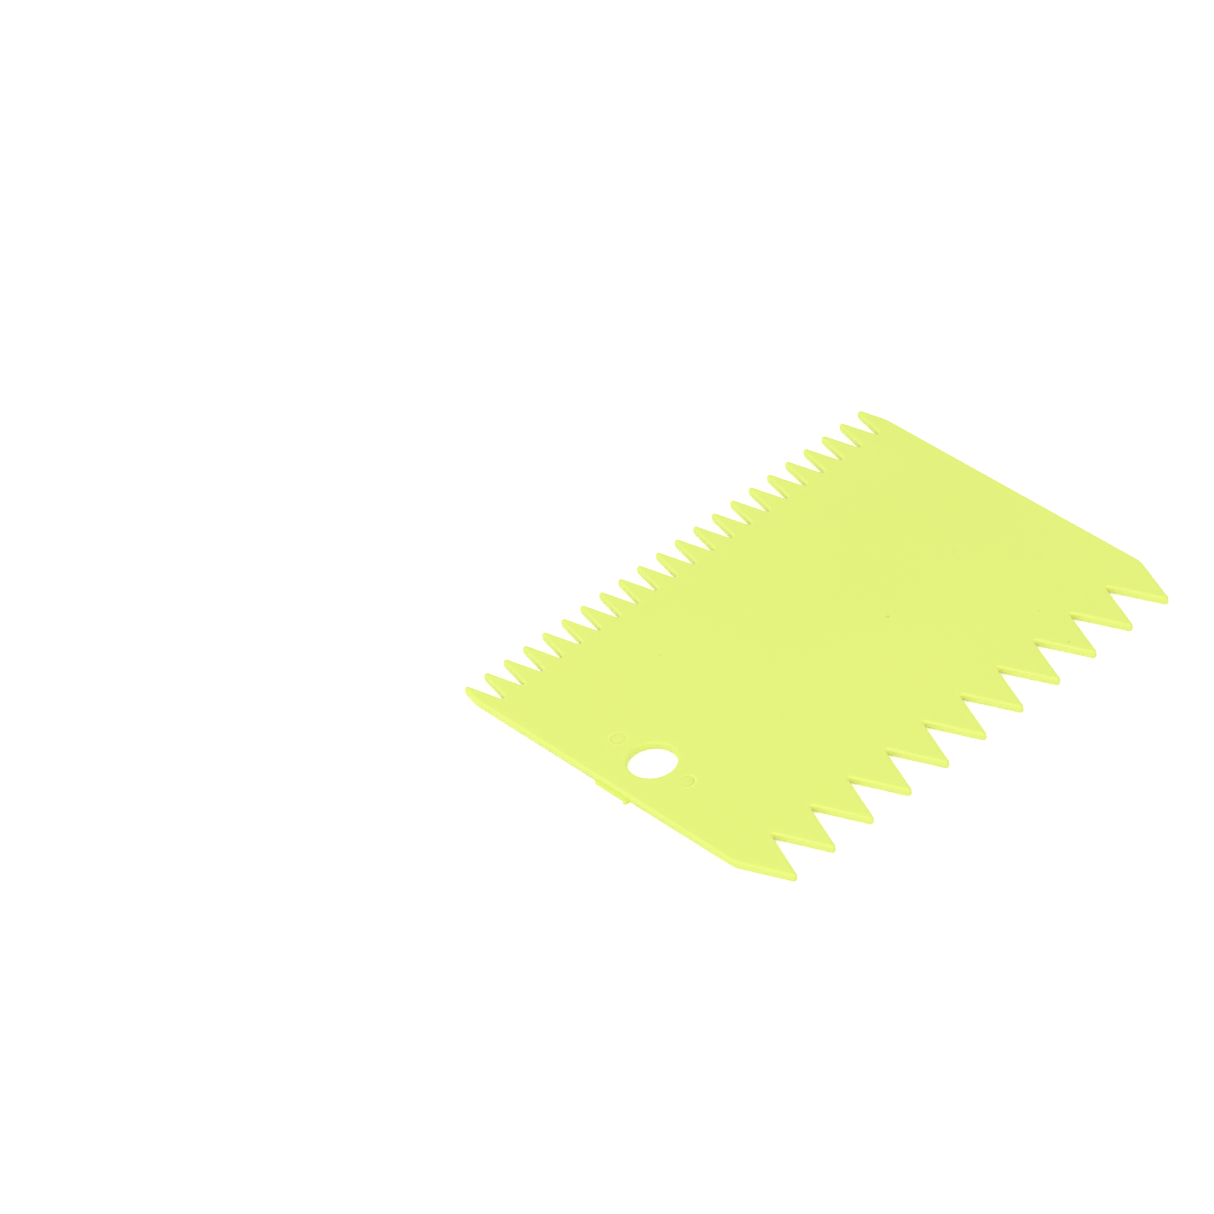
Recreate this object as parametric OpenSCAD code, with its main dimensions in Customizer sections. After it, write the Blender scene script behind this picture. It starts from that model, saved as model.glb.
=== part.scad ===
// Toothed cake scraper: one thin moulded plate that lies flat. One long side has a few coarse
// pointed teeth, the other has many fine ones, and a round hanging hole is near one short side.
// X runs along the toothed sides, the coarse teeth point to -Y and the fine ones to +Y. The
// underside is at Z = 0, and the origin is in the middle of the whole length and width.

/* [Plate] */
// Length of the plate along its toothed sides
plate_length = 119.9; // [90:0.1:180]
// Width of the plain middle, from the roots of the coarse teeth to the roots of the fine ones
web_width = 72.8; // [50:0.1:140]
// Thickness of the plate
plate_thickness = 2; // [1.4:0.1:4]
// Rounding of the upper and lower edges, all the way round
edge_radius = 0.6; // [0.2:0.05:0.6]

/* [Coarse teeth] */
// Number of coarse teeth
coarse_count = 11; // [6:1:16]
// Depth of a coarse tooth from root to tip
coarse_depth = 12.2; // [6:0.1:18]
// Rounding of a coarse tip, seen from above
coarse_tip_radius = 0.65; // [0.4:0.05:1.5]
// Rounding of a coarse root, seen from above
coarse_root_radius = 0.3; // [0.2:0.05:1.2]
// Extra length of the coarse row over the plate, because its outermost gaps are only half there
coarse_overrun = 0.2; // [0:0.1:2.5]
// Rounding where an outermost coarse tooth runs into the short side
coarse_shoulder_radius = 6; // [1:0.5:12]

/* [Fine teeth] */
// Number of fine teeth
fine_count = 22; // [14:1:26]
// Depth of a fine tooth from root to tip
fine_depth = 8.8; // [4:0.1:12]
// Rounding of a fine tip, seen from above
fine_tip_radius = 0.65; // [0.4:0.05:0.8]
// Rounding of a fine root, seen from above
fine_root_radius = 0.4; // [0.2:0.05:0.8]
// Extra length of the fine row over the plate, for the same reason
fine_overrun = 2; // [0:0.1:2.5]
// Shift of the fine row along the plate, away from the hole
fine_shift = -0.2; // [-1:0.1:1]
// Rounding where an outermost fine tooth runs into the short side
fine_shoulder_radius = 12; // [1:0.5:16]

/* [Hanging hole] */
// Diameter of the hole
hole_diameter = 10.5; // [4:0.5:15]
// Distance from the short side to the middle of the hole
hole_inset = 10.7; // [10:0.1:20]
// Shift of the hole from the middle of the whole width, towards the fine teeth
hole_shift = 0.1; // [-5:0.1:5]

/* [Moulding marks] */
// Diameter of an ejector pin's round mark
mark_diameter = 3.4; // [1:0.1:4]
// Depth of an ejector pin's mark in the upper face
mark_depth = 0.1; // [0.05:0.05:0.3]
// Distance between the middles of the two marks, which lie either side of the hole
mark_spacing = 20.3; // [20:0.1:30]
// Length of the trimmed stub of the injection gate along the short side
gate_length = 9.5; // [4:0.5:12]
// Shift of the stub from the middle of the whole width, towards the fine teeth
gate_shift = 1.3; // [-5:0.1:5]
// Distance that the stub stands out from the short side
gate_reach = 0.6; // [0.2:0.1:1.5]
// Height of the stub above the underside
gate_height = 0.7; // [0.4:0.1:1]
// Diameter of the small burr at the stub's end
burr_diameter = 1; // [0.6:0.1:1.6]

/* [Hidden] */
$fn = 48;
// Steps in each rounded corner of the outline, an even number so that a root has a middle point
arc_steps = 6;
// Steps in the rounding of an edge
edge_steps = 3;
// Depth that the gate stub is rooted in the plate
root_in = 1.5;
// Length that a cutter reaches past a face
past = 1;
// Share of the web's width from the roots to the row of hubs that the teeth are fanned from
hub_share = 0.25;
plastic = [0.89, 0.95, 0.49];

whole_width = coarse_depth + web_width + fine_depth;
coarse_pitch = (plate_length + coarse_overrun) / coarse_count;
fine_pitch = (plate_length + fine_overrun) / fine_count;
// An edge can't be rounded by more than half the thickness or by the whole of a tip's rounding
edge = min(edge_radius, plate_thickness * 0.45, coarse_tip_radius * 0.95, fine_tip_radius * 0.95);
side_x = plate_length / 2;
coarse_root_y = coarse_depth - whole_width / 2;
fine_root_y = fine_depth - whole_width / 2;
hole_at = [hole_inset - side_x, hole_shift];
// The burr stands out by its own radius past the stub, which sets how far the whole reaches
burr_at = [-side_x - gate_reach, gate_shift - gate_length / 2];
reach_out = gate_reach + burr_diameter / 2;

function direction(angle) = [cos(angle), sin(angle)];

// Half the angle of a tooth's point. Its roundings at tip and root add up to the value rounded.
function flank_angle(pitch, depth, rounded) =
    acos(rounded / norm([pitch / 2, depth - rounded])) - atan2(depth - rounded, pitch / 2);

// An arc of the outline is its centre, its signed radius, negative where it is hollow, and the
// angles of its outward normal from start to end. The outline runs anticlockwise.
function shoulder(side, angle, tip, tip_radius, radius) =
    let (
        normal = direction(180 + angle),
        x = radius - side_x,
        y = (normal * tip + tip_radius - radius - normal.x * x) / normal.y
    )
    side < 0 ? [[x, y], radius, 180, 180 + angle] : [[-x, y], radius, 360 - angle, 360];

// One toothed side that points to -Y, from the shoulder on its left to the one on its right
function comb(count, pitch, depth, tip_radius, root_radius, shoulder_radius, root_y, shift) =
    let (
        angle = flank_angle(pitch, depth, tip_radius + root_radius),
        left = shift - count * pitch / 2,
        tip_y = root_y - depth + tip_radius,
        // The middle of an end tooth's tip, mirrored to the left for the shoulder on the right
        end_tip = function (side) [(1 - count) * pitch / 2 - side * shift, tip_y]
    )
    concat(
        [shoulder(-1, angle, end_tip(-1), tip_radius, shoulder_radius)],
        [for (k = [0 : count - 1], part = [0 : k < count - 1 ? 1 : 0])
            part == 0
                ? [[left + (k + 0.5) * pitch, tip_y], tip_radius, 180 + angle, 360 - angle]
                : [[left + (k + 1) * pitch, root_y - root_radius], -root_radius, 360 - angle, 180 + angle]
        ],
        [shoulder(1, angle, end_tip(1), tip_radius, shoulder_radius)]
    );

// The same side turned half round, so that it points to +Y
function turned(arcs) = [for (arc = arcs) [-arc[0], arc[1], arc[2] + 180, arc[3] + 180]];

outline = concat(
    comb(coarse_count, coarse_pitch, coarse_depth, coarse_tip_radius, coarse_root_radius,
        coarse_shoulder_radius, coarse_root_y, 0),
    turned(comb(fine_count, fine_pitch, fine_depth, fine_tip_radius, fine_root_radius,
        fine_shoulder_radius, fine_root_y, -fine_shift))
);

// The outline moved inwards by inset, as points at height z
function ring(inset, z) = [
    for (arc = outline, step = [0 : arc_steps])
        let (at = arc[0] + (arc[1] - inset) * direction(arc[2] + (arc[3] - arc[2]) * step / arc_steps))
        [at.x, at.y, z]
];

// Inset and height of every ring, from the underside round the lower edge to the upper face
edge_angles = [for (step = [0 : edge_steps]) 90 * step / edge_steps];
section = concat(
    [for (a = edge_angles) [edge * (1 - sin(a)), edge * (1 - cos(a))]],
    [for (a = edge_angles) [edge * (1 - cos(a)), plate_thickness - edge * (1 - sin(a))]]
);

// A flat face is fanned from a hub in line with each tooth, and between the rows of hubs from
// the middle of the web, so that no triangle crosses a gap.
web_middle_y = (coarse_root_y - fine_root_y) / 2;
coarse_hub_y = coarse_root_y + web_width * hub_share;
fine_hub_y = -fine_root_y - web_width * hub_share;
function hubs(z) = concat(
    [for (k = [0 : coarse_count - 1]) [(k + (1 - coarse_count) / 2) * coarse_pitch, coarse_hub_y, z]],
    [for (k = [0 : fine_count - 1])
        [fine_shift + ((fine_count - 1) / 2 - k) * fine_pitch, fine_hub_y, z]],
    [[0, web_middle_y, z]]
);

arc_points = arc_steps + 1;
ring_points = len(outline) * arc_points;
hub_points = coarse_count + fine_count + 1;
fine_start = 2 * coarse_count + 1;

// Triangles of one toothed side: first_arc is its first arc, hub its first hub
function comb_faces(count, first_arc, hub, base) =
    let (
        at = function (arc, step) base + (first_arc + arc) * arc_points + step,
        from = function (k) k == 0 ? at(0, 0) : at(2 * k, arc_steps / 2),
        to = function (k) k == count - 1 ? at(2 * count, arc_steps) : at(2 * k + 2, arc_steps / 2)
    )
    concat(
        [for (k = [0 : count - 1], i = [from(k) : to(k) - 1]) [hub + k, i, i + 1]],
        [for (k = [0 : count - 2]) [hub + k, to(k), hub + k + 1]]
    );

// Triangles of a whole flat face, anticlockwise from above: base is its ring, hub its first hub
function flat_faces(base, hub) =
    let (
        last = base + ring_points - 1,
        right = base + fine_start * arc_points - 1,
        coarse_end = hub + coarse_count - 1,
        fine_end = hub + hub_points - 2,
        middle = hub + hub_points - 1
    )
    concat(
        comb_faces(coarse_count, 0, hub, base),
        comb_faces(fine_count, fine_start, hub + coarse_count, base),
        [[last, base, hub], [last, hub, fine_end]],
        [[coarse_end, right, right + 1], [coarse_end, right + 1, coarse_end + 1]],
        [for (i = [hub : fine_end]) [middle, i, i == fine_end ? hub : i + 1]]
    );

function reversed(face) = [for (i = [len(face) - 1 : -1 : 0]) face[i]];

// The plate with its teeth and rounded edges, still without its hole
module plate() {
    rings = len(section);
    bottom_hub = rings * ring_points;
    points = concat(
        [for (level = section) each ring(level[0], level[1])],
        hubs(0),
        hubs(plate_thickness)
    );
    walls = [
        for (j = [0 : rings - 2], i = [0 : ring_points - 1])
            let (low = j * ring_points, high = low + ring_points, next = (i + 1) % ring_points)
            [low + i, high + i, high + next, low + next]
    ];
    upper = flat_faces((rings - 1) * ring_points, bottom_hub + hub_points);
    polyhedron(points, concat(walls, flat_faces(0, bottom_hub), [for (face = upper) reversed(face)]));
}

// The hole's space, which widens at both faces to round its rims
module hole_space() {
    radius = hole_diameter / 2;
    wide = radius + edge;
    rim = [for (level = section) [radius + level[0], level[1]]];
    top = plate_thickness + past;
    translate(hole_at)
        rotate_extrude()
            polygon(concat([[0, -past], [wide, -past]], rim, [[wide, top], [0, top]]));
}

// The two shallow round marks of the ejector pins, in line with the hole
module pin_marks() {
    for (side = [-1, 1])
        translate([hole_at.x, hole_at.y + side * mark_spacing / 2, plate_thickness - mark_depth])
            cylinder(h = mark_depth + past, d = mark_diameter);
}

// The trimmed stub of the injection gate, beside the hole, with one slanted end and a small burr
module gate_stub() {
    low = gate_shift - gate_length / 2;
    high = gate_shift + gate_length / 2;
    linear_extrude(gate_height)
        polygon([
            [root_in - side_x, low],
            [root_in - side_x, high],
            [-side_x, high],
            [-side_x - gate_reach, high - gate_reach],
            [-side_x - gate_reach, low]
        ]);
    translate(burr_at)
        cylinder(h = gate_height, d = burr_diameter);
}

module scraper() {
    color(plastic)
        translate([reach_out / 2, 0, 0]) {
            difference() {
                plate();
                hole_space();
                pin_marks();
            }
            gate_stub();
        }
}

scraper();
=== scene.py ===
"""A toothed cake scraper: a thin moulded plate of lime plastic that lies on a white table.

The plate is made by one Geometry Nodes tree from the sizes of its teeth, edges and hole. The
trimmed stub of its injection gate, with a small burr, is then fused with it.
"""

import math

import bmesh
import bpy
from mathutils import Matrix, Vector


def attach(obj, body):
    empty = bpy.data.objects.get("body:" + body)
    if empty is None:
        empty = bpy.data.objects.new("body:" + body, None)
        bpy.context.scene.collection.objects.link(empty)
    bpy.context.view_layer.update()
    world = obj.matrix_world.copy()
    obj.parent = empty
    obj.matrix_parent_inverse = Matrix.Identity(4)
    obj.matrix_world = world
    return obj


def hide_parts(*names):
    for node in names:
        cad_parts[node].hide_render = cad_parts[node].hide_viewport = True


MM = 0.001

# Sizes of the plate, in millimetres. They are those of the part's source, but a pin's mark is a soft
# groove, painted darker as shade, in a ring painted paler as highlight here, where the source has a
# plain round hollow.
PLATE = {
    "Length": 119.9,
    "Web Width": 72.8,
    "Thickness": 2.0,
    "Edge Radius": 0.6,
    "Coarse Depth": 12.2,
    "Coarse Tip Radius": 0.65,
    "Coarse Root Radius": 0.3,
    "Coarse Shoulder Radius": 6.0,
    "Coarse Overrun": 0.2,
    "Fine Depth": 8.8,
    "Fine Tip Radius": 0.65,
    "Fine Root Radius": 0.4,
    "Fine Shoulder Radius": 12.0,
    "Fine Overrun": 2.0,
    "Fine Shift": -0.2,
    "Hole Radius": 5.25,
    "Hole Inset": 10.7,
    "Hole Shift": 0.1,
    "Mark Spacing": 20.3,
    "Mark Outer Radius": 2.2,
    "Mark Inner Radius": 1.2,
    "Mark Depth": 0.08,
}

# How many teeth each long side has, into how many steps each curve is cut, and how many rings
# make up a pin's mark.
COUNTS = {
    "Coarse Count": 11,
    "Fine Count": 22,
    "Corner Steps": 10,
    "Edge Steps": 6,
    "Hole Steps": 96,
    "Mark Steps": 48,
    "Mark Rings": 16,
}

# The two pin marks: which way along Y each lies from the hole, by what share its wave, which sets the
# groove's depth, its painted shade and the ring's painted highlight, is stronger at its strongest
# place, and the angle of that place in radians.
PIN_MARKS = [
    (-1, 0.8, -0.7),
    (1, 0.3, 2.9),
]

# Width, in millimetres, of the flat strip between a rounded edge and the flat face beside it. It
# keeps the shading of the flat face level.
FLAT_STRIP = 0.04

# Points that lie nearer to each other than this, in millimetres, are welded into one.
WELD_DISTANCE = 0.0002

# Whole numbers are compared half a step apart, so that rounding can't turn the result.
HALF_STEP = 0.5

# Painted light on an edge, a painted highlight, has a strength of 1. These are added to it in a root,
# as painted light against the shade between two walls, and in a pin mark's ring, as a painted
# highlight.
ROOT_PAINTED_LIGHT = 2.5
RING_PAINTED_HIGHLIGHT = 1.0

# The trimmed stub of the injection gate on the short side by the hole, in millimetres: its
# length and place along that side, how far it stands out, its height, how deep it is rooted in
# the plate, how far its web reaches past it, and the width of its bevel.
GATE_LENGTH = 9.5
GATE_SHIFT = 1.3
GATE_REACH = 0.6
GATE_HEIGHT = 0.7
GATE_ROOT = 1.0
GATE_WEB = 0.45
STUB_BEVEL = 0.08

# Steps across the bevel, and the profile that makes it round.
STUB_BEVEL_STEPS = 2
ROUND_PROFILE = 0.5

# The burr at the stub's end: its radius in millimetres, its steps round, and its outline from
# its underside to its crown, in shares of its radius and of the stub's height.
BURR_RADIUS = 0.5
BURR_STEPS = 24
BURR_PROFILE = [(0.0, 0.0), (0.8, 0.0), (1.0, 0.14), (1.0, 0.62), (0.86, 0.86), (0.5, 1.0), (0.0, 1.0)]

# The stub and its burr reach out to one side, so the plate sits half of that off the middle.
MIDDLE_SHIFT = (GATE_REACH + BURR_RADIUS) / 2

# Colours, as red, green, blue and opacity. The plastic's face drifts between the first two.
FACE_COLOUR = (0.765, 0.895, 0.172, 1.0)
FLOW_COLOUR = (0.795, 0.915, 0.186, 1.0)
# Painted light: the paler colour that the edges, the roots and a pin mark's ring take as painted
# highlight and fill light.
PAINTED_LIGHT_COLOUR = (0.875, 0.955, 0.250, 1.0)
# Painted shade: the darker colour of a pin mark's groove.
GROOVE_PAINTED_SHADE_COLOUR = (0.520, 0.640, 0.090, 1.0)
SPECK_COLOUR = (0.40, 0.47, 0.08, 1.0)
TABLE_COLOUR = (0.92, 0.92, 0.92, 1.0)
WHITE = (1.0, 1.0, 1.0, 1.0)

# How much of its painted shade colour the deepest groove takes.
GROOVE_PAINTED_SHADE_SHARE = 0.15

# Faint dark specks in the upper face: place in millimetres and depth of colour.
SPECKS = [
    (13.9, -6.0, 0.42),
    (31.9, -40.7, 0.30),
    (35.2, -29.2, 0.14),
    (-25.2, 22.4, 0.14),
    (37.6, -2.2, 0.10),
]

# A speck is darkest within the first radius and ends at the second, in millimetres.
SPECK_CORE = 0.05
SPECK_REACH = 0.55

# The drift of the colour and the mould's satin grain: how fine each is, and its levels of detail.
FLOW_SCALE = 22.0
FLOW_DETAIL = 1.0
GRAIN_SCALE = 2600.0
GRAIN_DETAIL = 2.0

# How strongly the grain dents the face, how deep in metres, and the roughness that it varies.
GRAIN_STRENGTH = 0.08
GRAIN_DEPTH = 0.00004
LOW_ROUGHNESS = 0.36
HIGH_ROUGHNESS = 0.46

# The plastic's refraction, and the light that runs inside it: its share, how far each colour
# gets, and the unit of that in metres.
PLASTIC_IOR = 1.46
INNER_SHARE = 0.15
INNER_REACH = (1.0, 1.0, 0.4)
INNER_UNIT = 0.001

# The table top: its reach and its drop under the plate, in metres, and what is added to its
# brightness as the camera sees it.
TABLE_REACH = 2.5
TABLE_DROP = 0.00003
TABLE_LIFT = 0.34

# Strength of the white room, first as it lights the plate and then as the camera sees it.
ROOM_LIGHT = 0.74
ROOM_SHOWN = 1.0

# The two lamps: name, place and width in metres, and power in watts.
LAMPS = [
    ("front_softbox", (-0.70, -0.60, 1.0), 0.9, 4.7),
    ("back_softbox", (-0.45, 0.65, 0.95), 0.6, 1.6),
]

# The camera: focal length and sensor in millimetres, nearest and farthest reach and place in
# metres, and the directions of its right side, its top and its back.
CAMERA_LENS = 191.2335
CAMERA_SENSOR = 36.0
CAMERA_NEAR = 0.05
CAMERA_FAR = 20.0
CAMERA_PLACE = (-0.663986, -0.768566, 0.876019)
CAMERA_AXES = (
    (0.7198710, -0.6858209, -0.1069364),
    (0.5066469, 0.4138724, 0.7563191),
    (-0.4744414, -0.5986312, 0.6454038),
)


# Node trees


class Field:
    """An output socket that can be used in sums, each of which adds a Math node."""

    def __init__(self, maker, socket):
        self.maker = maker
        self.socket = socket

    def __add__(self, other):
        return self.maker.math("ADD", self, other)

    def __sub__(self, other):
        return self.maker.math("SUBTRACT", self, other)

    def __rsub__(self, other):
        return self.maker.math("SUBTRACT", other, self)

    def __mul__(self, other):
        return self.maker.math("MULTIPLY", self, other)

    def __truediv__(self, other):
        return self.maker.math("DIVIDE", self, other)

    __radd__ = __add__


class NodeMaker:
    """Adds nodes to a tree and links them."""

    def __init__(self, tree):
        self.tree = tree

    def node(self, kind, inputs=None, **settings):
        """A node with its settings made, and its inputs given a value or a link."""
        made = self.tree.nodes.new(kind)
        for name, value in settings.items():
            setattr(made, name, value)
        for name, value in (inputs or {}).items():
            self.feed(made.inputs[name], value)
        return made

    def feed(self, socket, value):
        if isinstance(value, Field):
            self.tree.links.new(value.socket, socket)
        elif isinstance(value, bpy.types.NodeSocket):
            self.tree.links.new(value, socket)
        else:
            socket.default_value = value

    def math(self, operation, first, second=0.0):
        made = self.node("ShaderNodeMath", {0: first, 1: second}, operation=operation)
        return Field(self, made.outputs[0])

    def sine(self, angle):
        return self.math("SINE", angle)

    def cosine(self, angle):
        return self.math("COSINE", angle)

    def larger(self, first, second):
        return self.math("MAXIMUM", first, second)

    def smaller(self, first, second):
        return self.math("MINIMUM", first, second)


class PlateMaker(NodeMaker):
    """The Geometry Nodes tree of the toothed plate. It works in millimetres, so that points a
    few hundredths apart at the tips stay apart."""

    def __init__(self, material):
        super().__init__(bpy.data.node_groups.new("toothed_plate", "GeometryNodeTree"))
        self.material = material
        self.sockets = {}
        for name, value in PLATE.items():
            self.add_input(name, "NodeSocketFloat", value)
        for name, value in COUNTS.items():
            self.add_input(name, "NodeSocketInt", value)
        self.tree.interface.new_socket("Geometry", in_out="OUTPUT", socket_type="NodeSocketGeometry")
        self.given = self.node("NodeGroupInput")
        self.result = self.node("NodeGroupOutput")

    def add_input(self, name, kind, value):
        socket = self.tree.interface.new_socket(name, in_out="INPUT", socket_type=kind)
        socket.default_value = value
        self.sockets[name] = socket.identifier

    def size(self, name):
        return Field(self, self.given.outputs[name])

    def is_first(self, number):
        """1 where a whole number is 0, and 0 elsewhere."""
        return self.math("GREATER_THAN", HALF_STEP, number)

    def reaches(self, number, limit):
        """1 where a whole number is at least the limit, and 0 elsewhere."""
        return self.math("GREATER_THAN", number, limit - HALF_STEP)

    def whole_times(self, number, divisor):
        """How often a divisor goes into a whole number."""
        return self.math("FLOOR", (number + HALF_STEP) / divisor)

    def pick(self, test, if_true, if_false):
        """if_true where test is 1, if_false where it is 0."""
        return if_false + test * (if_true - if_false)

    def grid(self, columns, rows):
        """A strip of columns by rows points, and each point's column and row."""
        made = self.node("GeometryNodeMeshGrid", {"Vertices X": columns, "Vertices Y": rows})
        index = Field(self, self.node("GeometryNodeInputIndex").outputs[0])
        column = self.whole_times(index, rows)
        return made.outputs["Mesh"], column, index - column * rows

    def place(self, mesh, x, y, z, painted_light):
        """Moves each point of a strip to its place and keeps its painted light, which the plastic
        reads: above 0 at an edge or in a ring, where a paler colour is painted as highlight, and below
        0 in a groove, where a darker colour is painted as shade."""
        point = self.node("ShaderNodeCombineXYZ", {"X": x, "Y": y, "Z": z})
        placed = self.node("GeometryNodeSetPosition", {"Geometry": mesh, "Position": point.outputs[0]})
        return self.keep(placed.outputs[0], "edge", painted_light, "FLOAT")

    def keep(self, mesh, name, value, kind):
        inputs = {"Geometry": mesh, "Name": name, "Value": value}
        stored = self.node("GeometryNodeStoreNamedAttribute", inputs, data_type=kind, domain="POINT")
        return stored.outputs[0]

    def section_rows(self):
        """Rows of points across a rounded wall: two arcs and the two flat strips' inner sides."""
        arc_rows = self.size("Edge Steps") + 1
        return arc_rows * 2 + 2

    def rounded_section(self, row):
        """Inset, height and painted highlight of a row of a rounded wall, from the underside to the
        upper face."""
        steps = self.size("Edge Steps")
        radius = self.size("Edge Radius")
        # Row 0 is the lower strip's inner side, and the upper arc follows the lower one.
        upper = self.reaches(row, steps + 2)
        arc_start = self.pick(upper, steps + 2, 1.0)
        turn = self.smaller(self.larger(row - arc_start, 0.0), steps) / steps * (math.pi / 2)
        rise = radius - radius * self.sine(turn)
        fall = radius - radius * self.cosine(turn)
        inset = self.pick(upper, fall, rise)
        height = self.pick(upper, self.size("Thickness") - rise, fall)
        strip_side = self.is_first(row) + self.reaches(row, self.section_rows() - 1)
        # Painted highlight: 1 at the wall, falling to 0 where each rounding meets a flat face.
        painted_light = self.larger(1.0 - inset / radius, 0.0)
        return inset + strip_side * FLAT_STRIP, height, painted_light

    def mark_rims(self, mesh, row):
        """Marks the wall's first and last row, which the flat faces start from."""
        mesh = self.keep(mesh, "lower_rim", self.is_first(row), "BOOLEAN")
        return self.keep(mesh, "upper_rim", self.reaches(row, self.section_rows() - 1), "BOOLEAN")

    def flank_angle(self, pitch, depth, rounded):
        """Half the angle of a tooth's point, in radians. Its tip's and root's radius together
        are rounded."""
        half = pitch / 2
        rest = depth - rounded
        slant = self.math("SQRT", half * half + rest * rest)
        return self.math("ARCCOSINE", rounded / slant) - self.math("ARCTAN2", rest, half)

    def comb_values(self, name):
        """The sizes of one toothed side that its strip is worked out from."""
        depth = self.size(name + " Depth")
        tip = self.size(name + " Tip Radius")
        root = self.size(name + " Root Radius")
        shoulder = self.size(name + " Shoulder Radius")
        count = self.size(name + " Count")
        row_length = self.size("Length") + self.size(name + " Overrun")
        pitch = row_length / count
        angle = self.flank_angle(pitch, depth, tip + root)
        whole = self.size("Coarse Depth") + self.size("Web Width") + self.size("Fine Depth")
        root_y = depth - whole / 2
        tip_y = root_y - depth + tip
        # The fine strip is made to point to -Y and then turned, so its shift changes sign.
        shift = self.size("Fine Shift") * -1 if name == "Fine" else 0.0
        # A shoulder touches the short side and the outer flank of the tooth beside it.
        shoulder_x = shoulder - self.size("Length") / 2
        shoulder_ys = []
        for side in (1, -1):
            end_tip_x = shift * side - (row_length - pitch) / 2
            along = (shoulder_x - end_tip_x) * self.cosine(angle)
            shoulder_ys.append(tip_y + (shoulder - tip - along) / self.sine(angle))
        return {
            "count": count, "tip": tip, "root": root, "shoulder": shoulder, "pitch": pitch,
            "angle": angle, "root_y": root_y, "tip_y": tip_y, "left": shift - row_length / 2,
            "shoulder_x": shoulder_x, "left_y": shoulder_ys[0], "right_y": shoulder_ys[1],
        }

    def comb_strip(self, comb, other):
        """The rounded wall of one toothed side that points to -Y, with both its shoulders and
        the short side on its right, up to where the other comb starts."""
        points = self.size("Corner Steps") + 1
        corners = comb["count"] * 2 + 1
        columns = corners * points + 1
        mesh, column, row = self.grid(columns, self.section_rows())
        corner = self.smaller(self.whole_times(column, points), corners - 1)
        step = self.smaller(column - corner * points, points - 1)
        share = step / (points - 1)

        # The first and the last corner are shoulders, and between them tips take turns with roots.
        first = self.is_first(corner)
        last = self.reaches(corner, corners - 1)
        is_shoulder = first + last
        is_tip = self.math("MODULO", corner, 2)
        is_root = (1.0 - is_tip) * (1.0 - is_shoulder)

        side = last * 2 - 1.0
        row_x = comb["left"] + corner / 2 * comb["pitch"]
        row_y = self.pick(is_tip, comb["tip_y"], comb["root_y"] - comb["root"])
        centre_x = self.pick(is_shoulder, side * comb["shoulder_x"] * -1, row_x)
        centre_y = self.pick(first, comb["left_y"], self.pick(last, comb["right_y"], row_y))
        row_radius = self.pick(is_tip, comb["tip"], comb["root"] * -1)
        radius = self.pick(is_shoulder, comb["shoulder"], row_radius)

        down_left = comb["angle"] + math.pi
        down_right = math.pi * 2 - comb["angle"]
        start = self.pick(is_tip, down_left, down_right)
        end = self.pick(is_tip, down_right, down_left)
        start = self.pick(first, math.pi, self.pick(last, down_right, start))
        end = self.pick(first, down_left, self.pick(last, math.pi * 2, end))
        turn = start + (end - start) * share

        inset, height, painted_light = self.rounded_section(row)
        # A root lies between two walls, where shade falls, so its colour is painted paler there as
        # light.
        painted_light = painted_light * (1.0 + is_root * ROOT_PAINTED_LIGHT)
        reach = radius - inset
        x = centre_x + reach * self.cosine(turn)
        y = centre_y + reach * self.sine(turn)
        # The last column closes the short side.
        y = self.pick(self.reaches(column, columns - 1), other["left_y"] * -1, y)
        return self.mark_rims(self.place(mesh, x, y, height, painted_light), row)

    def hole_x(self):
        return self.size("Hole Inset") - self.size("Length") / 2

    def hole_strip(self):
        """The wall of the hanging hole with its two rounded rims."""
        steps = self.size("Hole Steps")
        mesh, column, row = self.grid(steps + 1, self.section_rows())
        turn = column / steps * (-2 * math.pi)
        inset, height, painted_light = self.rounded_section(row)
        reach = self.size("Hole Radius") + inset
        x = self.hole_x() + reach * self.cosine(turn)
        y = self.size("Hole Shift") + reach * self.sine(turn)
        return self.mark_rims(self.place(mesh, x, y, height, painted_light), row)

    def pin_mark(self, side, lean, toward):
        """The shallow groove that an ejector pin leaves in the upper face, painted darker as shade, in
        a ring painted paler as highlight. Both are stronger by the share lean on the side that the
        angle toward points to, and weaker on the other."""
        steps = self.size("Mark Steps")
        rings = self.size("Mark Rings")
        mesh, column, row = self.grid(steps + 1, rings + 1)
        turn = column / steps * (2 * math.pi)
        outer = self.size("Mark Outer Radius")
        share = row / rings
        reach = outer - (outer - self.size("Mark Inner Radius")) * share
        # The wave is above zero in the outer half, the ring, which is painted paler as highlight, and
        # below it in the groove, which is painted darker as shade.
        strength = 1.0 + self.cosine(turn - toward) * lean
        wave = self.sine(share * (2 * math.pi)) * strength
        # The dip is squared for the height, so that the groove starts level with the face.
        dip = self.larger(wave * -1, 0.0)
        x = self.hole_x() + reach * self.cosine(turn)
        y = self.size("Hole Shift") + self.size("Mark Spacing") * (side / 2) + reach * self.sine(turn)
        height = self.size("Thickness") - self.size("Mark Depth") * dip * dip
        # The ring takes a painted highlight and the groove painted shade from the wave.
        placed = self.place(mesh, x, y, height, wave + self.larger(wave, 0.0) * RING_PAINTED_HIGHLIGHT)
        rimmed = self.keep(placed, "upper_rim", self.is_first(row), "BOOLEAN")
        return self.keep(rimmed, "pin_rim", self.reaches(row, rings), "BOOLEAN")

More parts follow.
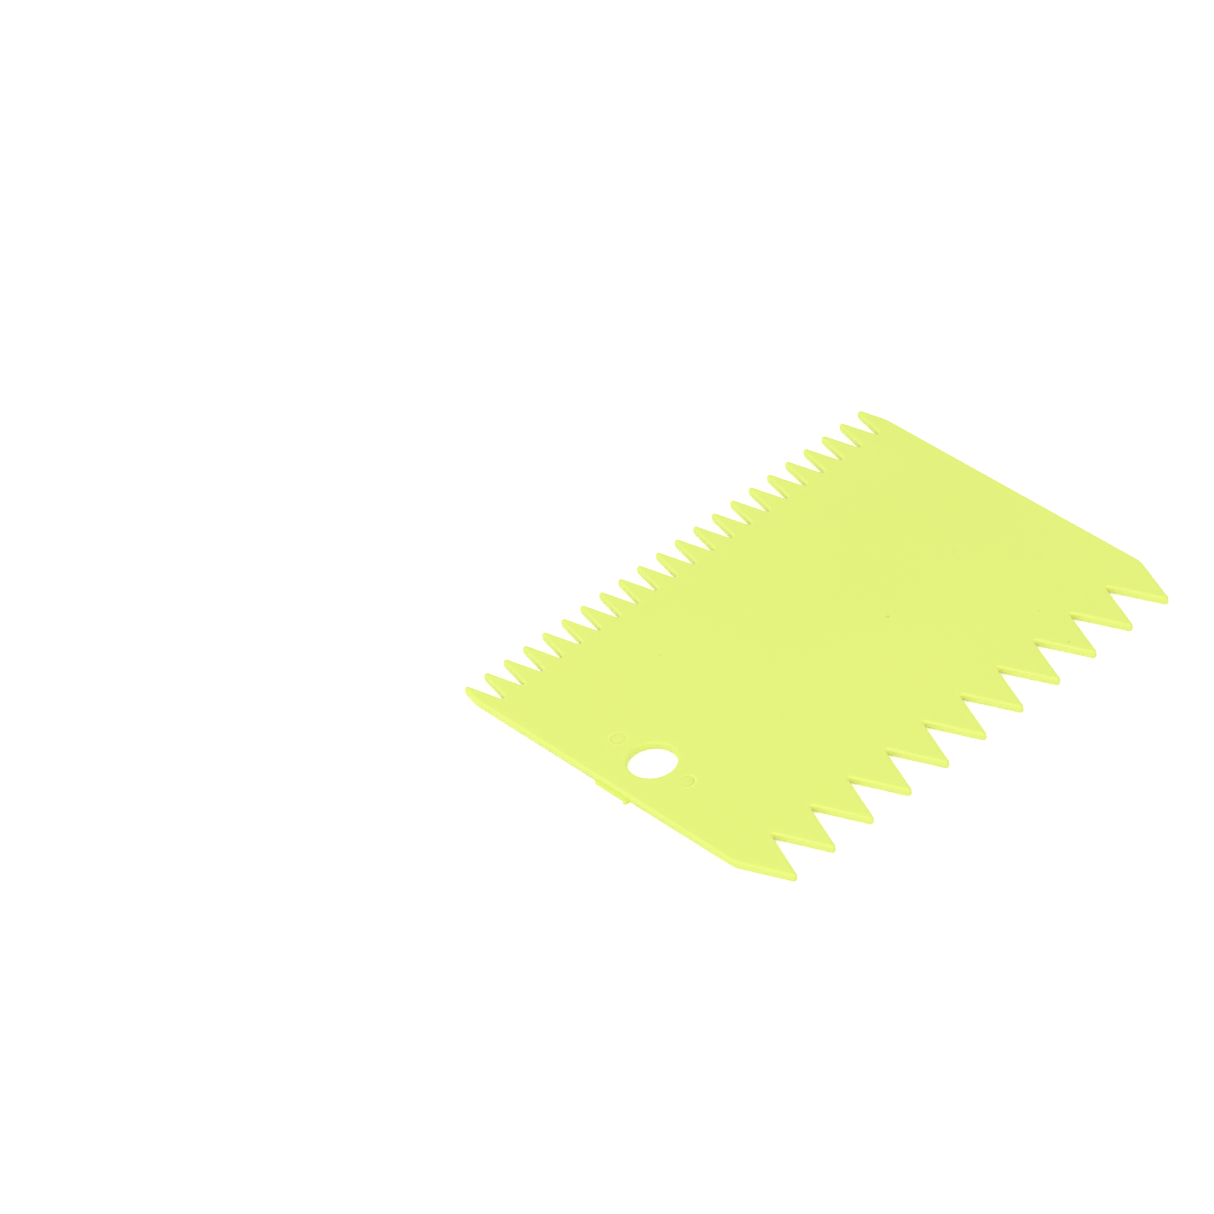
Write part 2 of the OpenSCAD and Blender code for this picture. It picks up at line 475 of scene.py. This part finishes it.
    def turned_half(self, mesh):
        """A strip turned half round, to the other long side."""
        moved = self.node("GeometryNodeTransform", {"Geometry": mesh, "Rotation": (0.0, 0.0, math.pi)})
        return moved.outputs[0]

    def welded(self, meshes):
        """The meshes as one, with points that meet made one point."""
        together = self.node("GeometryNodeJoinGeometry")
        for mesh in meshes:
            self.tree.links.new(mesh, together.inputs[0])
        inputs = {"Geometry": together.outputs[0], "Distance": WELD_DISTANCE}
        return self.node("GeometryNodeMergeByDistance", inputs).outputs[0]

    def filled(self, mesh, rim, height, flip):
        """The flat face inside the rim's points, at one height."""
        marked = self.node("GeometryNodeInputNamedAttribute", {"Name": rim}, data_type="BOOLEAN")
        inputs = {"Mesh": mesh, "Selection": marked.outputs["Attribute"]}
        curve = self.node("GeometryNodeMeshToCurve", inputs)
        face = self.node("GeometryNodeFillCurve", {"Curve": curve.outputs[0]})
        shift = self.node("ShaderNodeCombineXYZ", {"Z": height})
        inputs = {"Geometry": face.outputs[0], "Translation": shift.outputs[0]}
        lifted = self.node("GeometryNodeTransform", inputs)
        if not flip:
            return lifted.outputs[0]
        return self.node("GeometryNodeFlipFaces", {"Mesh": lifted.outputs[0]}).outputs[0]

    def build(self):
        coarse = self.comb_values("Coarse")
        fine = self.comb_values("Fine")
        walls = self.welded([
            self.comb_strip(coarse, fine),
            self.turned_half(self.comb_strip(fine, coarse)),
            self.hole_strip(),
            *[self.pin_mark(*mark) for mark in PIN_MARKS],
        ])
        thickness = self.size("Thickness")
        whole = self.welded([
            walls,
            self.filled(walls, "upper_rim", thickness, False),
            self.filled(walls, "pin_rim", thickness, False),
            self.filled(walls, "lower_rim", 0.0, True),
        ])
        smooth = self.node("GeometryNodeSetShadeSmooth", {"Geometry": whole})
        metres = self.node("GeometryNodeTransform", {
            "Geometry": smooth.outputs[0],
            "Translation": (MIDDLE_SHIFT * MM, 0.0, 0.0),
            "Scale": (MM, MM, MM),
        })
        real = self.node("GeometryNodeRealizeInstances", {"Geometry": metres.outputs[0]})
        inputs = {"Geometry": real.outputs[0], "Material": self.material}
        painted = self.node("GeometryNodeSetMaterial", inputs)
        self.tree.links.new(painted.outputs[0], self.result.inputs[0])
        return self.tree


# Materials


def new_material(name):
    material = bpy.data.materials.new(name)
    material.use_nodes = True
    material.node_tree.nodes.clear()
    return material, NodeMaker(material.node_tree)


def mixed(make, share, first, second):
    """The first colour where share is 0, and the second where it is 1."""
    inputs = {"Factor": share, "A": first, "B": second}
    return make.node("ShaderNodeMix", inputs, data_type="RGBA").outputs["Result"]


def speck_share(make, place):
    """How much of the specks' colour a place takes: a few faint dark specks like pinpoints."""
    share = 0.0
    for x, y, depth in SPECKS:
        middle = (x * MM, y * MM, PLATE["Thickness"] * MM)
        gap = make.node("ShaderNodeVectorMath", {0: place, 1: middle}, operation="DISTANCE")
        spot = make.node("ShaderNodeMapRange", {
            "Value": gap.outputs["Value"],
            "From Min": SPECK_CORE * MM,
            "From Max": SPECK_REACH * MM,
            "To Min": depth,
            "To Max": 0.0,
        })
        share = make.larger(spot.outputs[0], share)
    return share


def lime_plastic():
    """Moulded lime plastic with a satin face, painted highlights on its edges and pin marks' rings,
    painted light in its roots and painted shade in its grooves.
    """
    material, make = new_material("lime_plastic")
    place = make.node("ShaderNodeTexCoord").outputs["Object"]

    # The colour drifts very slightly over the plate, as plastic does where it flowed.
    inputs = {"Vector": place, "Scale": FLOW_SCALE, "Detail": FLOW_DETAIL}
    flow = make.node("ShaderNodeTexNoise", inputs)
    face = mixed(make, flow.outputs["Fac"], FACE_COLOUR, FLOW_COLOUR)

    # Painted highlight: the colour turns paler towards the rounded edges, and paler still in a root,
    # as painted light against the shade there.
    edge = make.node("ShaderNodeAttribute", attribute_name="edge").outputs["Fac"]
    painted_light = make.node("ShaderNodeMapRange", {"Value": edge, "From Max": 1.0 + ROOT_PAINTED_LIGHT})
    lit = mixed(make, painted_light.outputs[0], face, PAINTED_LIGHT_COLOUR)
    # Painted shade: a pin mark's groove is darkened towards its painted shade colour.
    inputs = {"Value": edge, "From Max": -1.0, "To Max": GROOVE_PAINTED_SHADE_SHARE}
    groove = make.node("ShaderNodeMapRange", inputs)
    body = mixed(make, groove.outputs[0], lit, GROOVE_PAINTED_SHADE_COLOUR)
    colour = mixed(make, speck_share(make, place), body, SPECK_COLOUR)

    # The mould's fine satin grain dents the face and varies its roughness.
    inputs = {"Vector": place, "Scale": GRAIN_SCALE, "Detail": GRAIN_DETAIL}
    grain = make.node("ShaderNodeTexNoise", inputs).outputs["Fac"]
    inputs = {"Height": grain, "Strength": GRAIN_STRENGTH, "Distance": GRAIN_DEPTH}
    dent = make.node("ShaderNodeBump", inputs)
    inputs = {"Value": grain, "To Min": LOW_ROUGHNESS, "To Max": HIGH_ROUGHNESS}
    rough = make.node("ShaderNodeMapRange", inputs)

    shader = make.node("ShaderNodeBsdfPrincipled", {
        "Base Color": colour,
        "Roughness": rough.outputs[0],
        "Normal": dent.outputs[0],
        "IOR": PLASTIC_IOR,
        "Subsurface Weight": INNER_SHARE,
        "Subsurface Radius": INNER_REACH,
        "Subsurface Scale": INNER_UNIT,
    })
    make.node("ShaderNodeOutputMaterial", {"Surface": shader.outputs[0]})
    return material


def seen_directly(make):
    """1 for what the camera sees, straight, in a reflection or through a clear piece, and 0 for
    light on the object."""
    path = make.node("ShaderNodeLightPath").outputs
    seen = make.larger(path["Is Camera Ray"], path["Is Glossy Ray"])
    return make.larger(seen, path["Is Transmission Ray"])


def white_table():
    """A white table top that keeps a soft shadow and looks as white as the room."""
    material, make = new_material("white_table")
    diffuse = make.node("ShaderNodeBsdfDiffuse", {"Color": TABLE_COLOUR}).outputs[0]
    lift = make.node("ShaderNodeEmission", {"Color": WHITE, "Strength": TABLE_LIFT}).outputs[0]
    bright = make.node("ShaderNodeAddShader", {0: diffuse, 1: lift}).outputs[0]
    mix = make.node("ShaderNodeMixShader", {0: seen_directly(make), 1: diffuse, 2: bright})
    make.node("ShaderNodeOutputMaterial", {"Surface": mix.outputs[0]})
    return material


# Pieces


def plate_mesh(material):
    """Runs the plate's tree and returns its result as a plain mesh."""
    maker = PlateMaker(material)
    tree = maker.build()
    carrier = bpy.data.objects.new("plate_carrier", bpy.data.meshes.new("plate_carrier"))
    bpy.context.scene.collection.objects.link(carrier)
    modifier = carrier.modifiers.new("toothed_plate", "NODES")
    modifier.node_group = tree
    for name, value in {**PLATE, **COUNTS}.items():
        modifier[maker.sockets[name]] = value
    graph = bpy.context.evaluated_depsgraph_get()
    mesh = bpy.data.meshes.new_from_object(carrier.evaluated_get(graph))
    carrier.modifiers.remove(modifier)
    bpy.data.objects.remove(carrier)
    return mesh


def closed_shell(name, bm):
    """A closed shell as an object of its own, to be fused with the plate."""
    bmesh.ops.recalc_face_normals(bm, faces=bm.faces)
    mesh = bpy.data.meshes.new(name)
    bm.to_mesh(mesh)
    bm.free()
    shell = bpy.data.objects.new(name, mesh)
    bpy.context.scene.collection.objects.link(shell)
    return shell


def gate_stub():
    """The stub of the gate, with one slanted end and a small web behind the burr, rooted in the
    short side's wall."""
    side = (MIDDLE_SHIFT - PLATE["Length"] / 2) * MM
    low = (GATE_SHIFT - GATE_LENGTH / 2) * MM
    high = (GATE_SHIFT + GATE_LENGTH / 2) * MM
    out = side - GATE_REACH * MM
    slant = high - GATE_REACH * MM
    root = side + GATE_ROOT * MM
    web = low - GATE_WEB * MM
    outline = [(root, high), (side, high), (out, slant), (out, low), (side, web), (root, web)]
    bm = bmesh.new()
    base = [bm.verts.new((x, y, 0.0)) for x, y in outline]
    bottom = bm.faces.new(base)
    raised = bmesh.ops.extrude_face_region(bm, geom=[bottom])["geom"]
    top = [item for item in raised if isinstance(item, bmesh.types.BMVert)]
    bmesh.ops.translate(bm, verts=top, vec=(0.0, 0.0, GATE_HEIGHT * MM))
    bmesh.ops.bevel(
        bm, geom=bm.edges[:], affect="EDGES",
        offset=STUB_BEVEL * MM, segments=STUB_BEVEL_STEPS, profile=ROUND_PROFILE,
    )
    return closed_shell("gate_stub", bm)


def burr_ring(bm, middle, reach, height):
    """A ring of points round the middle, or one point where it has no reach."""
    x, y = middle
    if reach == 0.0:
        return [bm.verts.new((x, y, height))]
    angles = [2 * math.pi * step / BURR_STEPS for step in range(BURR_STEPS)]
    return [
        bm.verts.new((x + reach * math.cos(angle), y + reach * math.sin(angle), height))
        for angle in angles
    ]


def gate_burr():
    """The small round burr that is left at the stub's end."""
    x = (MIDDLE_SHIFT - PLATE["Length"] / 2 - GATE_REACH) * MM
    y = (GATE_SHIFT - GATE_LENGTH / 2) * MM
    radius = BURR_RADIUS * MM
    height = GATE_HEIGHT * MM
    bm = bmesh.new()
    rings = [burr_ring(bm, (x, y), reach * radius, rise * height) for reach, rise in BURR_PROFILE]
    for lower, upper in zip(rings, rings[1:]):
        for step in range(BURR_STEPS):
            after = step + 1
            corners = (
                lower[step % len(lower)], lower[after % len(lower)],
                upper[after % len(upper)], upper[step % len(upper)],
            )
            bm.faces.new(list(dict.fromkeys(corners)))
    for face in bm.faces:
        face.smooth = True
    return closed_shell("gate_burr", bm)


def fuse(piece, shell):
    """Joins a closed shell to a piece as one skin, with nothing left inside it."""
    union = piece.modifiers.new("union", "BOOLEAN")
    union.operation = "UNION"
    union.solver = "EXACT"
    union.object = shell
    graph = bpy.context.evaluated_depsgraph_get()
    mesh = bpy.data.meshes.new_from_object(piece.evaluated_get(graph))
    piece.modifiers.remove(union)
    piece.data = mesh
    bpy.data.objects.remove(shell)


def scraper_plate(material):
    """The whole scraper: the toothed plate, its gate stub and the burr on it."""
    plate = bpy.data.objects.new("scraper_plate", plate_mesh(material))
    bpy.context.scene.collection.objects.link(plate)
    fuse(plate, gate_stub())
    fuse(plate, gate_burr())
    plate.data.name = "scraper_plate"
    plate.data.materials.clear()
    plate.data.materials.append(material)
    return plate


# Stage


def table_top():
    """A wide white table top just under the plate."""
    mesh = bpy.data.meshes.new("table_top")
    ways = [(-1, -1), (1, -1), (1, 1), (-1, 1)]
    corners = [(x * TABLE_REACH, y * TABLE_REACH, -TABLE_DROP) for x, y in ways]
    mesh.from_pydata(corners, [], [(0, 1, 2, 3)])
    mesh.materials.append(white_table())
    table = bpy.data.objects.new("table_top", mesh)
    bpy.context.scene.collection.objects.link(table)
    return table


def soft_room():
    """A white room that lights the plate from all sides."""
    world = bpy.data.worlds.new("soft_room")
    bpy.context.scene.world = world
    world.use_nodes = True
    world.node_tree.nodes.clear()
    make = NodeMaker(world.node_tree)
    light, shown = (
        make.node("ShaderNodeBackground", {"Color": WHITE, "Strength": strength}).outputs[0]
        for strength in (ROOM_LIGHT, ROOM_SHOWN)
    )
    mix = make.node("ShaderNodeMixShader", {0: seen_directly(make), 1: light, 2: shown})
    make.node("ShaderNodeOutputWorld", {"Surface": mix.outputs[0]})


def softbox(name, place, width, power):
    """A square lamp that faces the plate."""
    lamp = bpy.data.lights.new(name, "AREA")
    lamp.shape = "SQUARE"
    lamp.size = width
    lamp.energy = power
    holder = bpy.data.objects.new(name, lamp)
    holder.location = place
    holder.rotation_euler = (-Vector(place)).to_track_quat("-Z", "Y").to_euler()
    bpy.context.scene.collection.objects.link(holder)


def camera():
    """The camera stands beyond the corner where the coarse teeth meet the holed short side."""
    lens = bpy.data.cameras.new("camera")
    lens.sensor_fit = "HORIZONTAL"
    lens.sensor_width = CAMERA_SENSOR
    lens.lens = CAMERA_LENS
    lens.clip_start = CAMERA_NEAR
    lens.clip_end = CAMERA_FAR
    holder = bpy.data.objects.new("camera", lens)
    turn = Matrix(CAMERA_AXES).transposed()
    holder.matrix_world = Matrix.Translation(CAMERA_PLACE) @ turn.to_4x4()
    bpy.context.scene.collection.objects.link(holder)
    bpy.context.scene.camera = holder


# The scene

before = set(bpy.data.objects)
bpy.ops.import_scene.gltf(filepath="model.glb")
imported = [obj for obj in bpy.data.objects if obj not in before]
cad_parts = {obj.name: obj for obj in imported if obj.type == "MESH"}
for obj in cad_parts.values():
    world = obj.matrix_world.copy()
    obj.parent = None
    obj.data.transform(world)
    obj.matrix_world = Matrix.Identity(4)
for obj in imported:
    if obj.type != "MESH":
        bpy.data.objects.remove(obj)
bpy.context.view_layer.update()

plastic = lime_plastic()
plate = scraper_plate(plastic)
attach(plate, "root")
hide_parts("scraper")

table_top()
soft_room()
for lamp in LAMPS:
    softbox(*lamp)
camera()

scene = bpy.context.scene
scene.view_settings.view_transform = "Standard"
